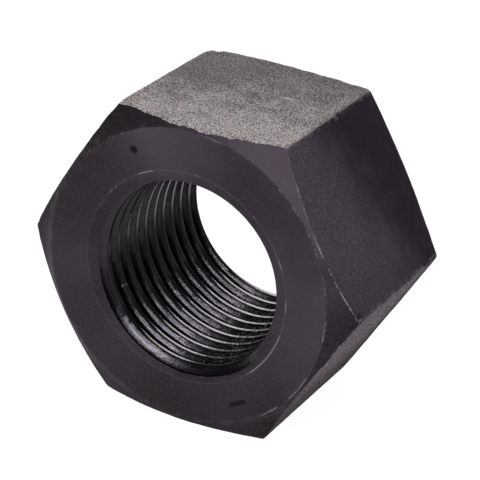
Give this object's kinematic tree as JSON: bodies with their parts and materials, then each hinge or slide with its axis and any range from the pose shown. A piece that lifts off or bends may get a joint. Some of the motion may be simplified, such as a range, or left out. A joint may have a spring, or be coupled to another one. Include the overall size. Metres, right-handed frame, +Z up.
{
  "type": "hex nut",
  "caption": "High hexagonal nut with a fine metric internal thread, chamfered at both faces, in blackened steel.",
  "frame": {"origin": "centre of the flat that the nut stands on", "axes": "+Z up from the resting flat, thread axis along Y with the marked face towards -Y, +X to the right when looking at the marked face"},
  "size_m": [0.0414, 0.0228, 0.036],
  "materials": {
    "black_steel": "black oxide on steel: turned and dark violet-grey on the faces, grainy and lighter on the forged flats, oily in the thread"
  },
  "bodies": {
    "root": {"hex_nut": "black_steel"}
  },
  "joints": []
}
